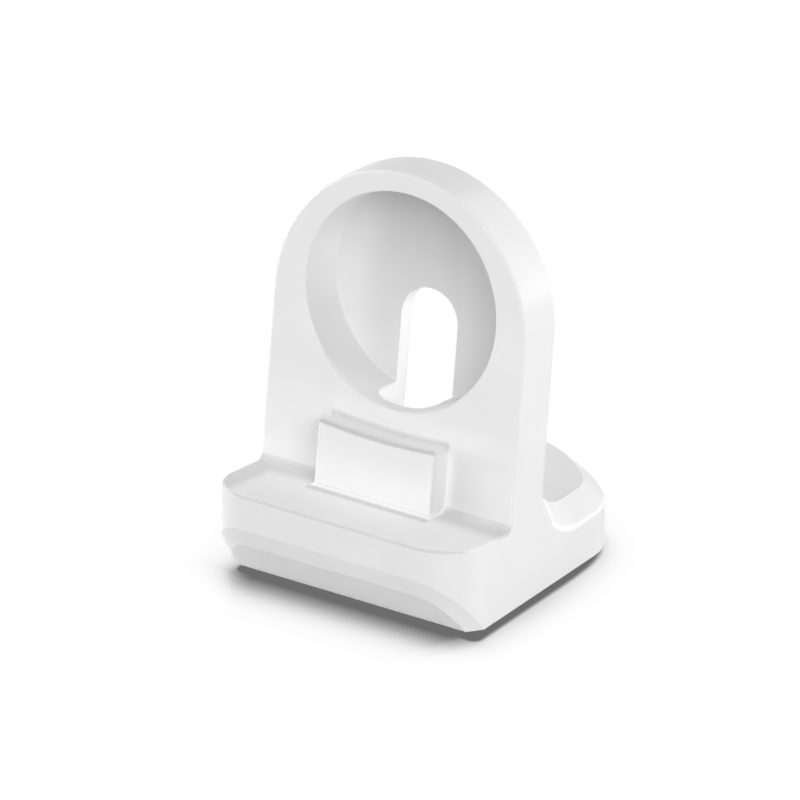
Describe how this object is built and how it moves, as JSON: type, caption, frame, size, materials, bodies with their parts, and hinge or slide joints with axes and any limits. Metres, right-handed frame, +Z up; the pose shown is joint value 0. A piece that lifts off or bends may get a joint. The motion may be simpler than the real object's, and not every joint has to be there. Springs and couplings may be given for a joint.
{
  "type": "charging stand",
  "caption": "Moulded stand for a round charging puck: a foot with a ledge, a leaning arched plate with a pocket and a cable slot, and a rest block.",
  "frame": {"origin": "middle of the foot's footprint, on the table", "axes": "+X to the right seen from the front, +Y from the ledge to the rear, +Z up from the table"},
  "size_m": [0.0528, 0.0622, 0.075],
  "materials": {
    "silicone": "matt moulded silicone"
  },
  "bodies": {
    "root": {"charging_stand": "silicone"}
  },
  "joints": []
}
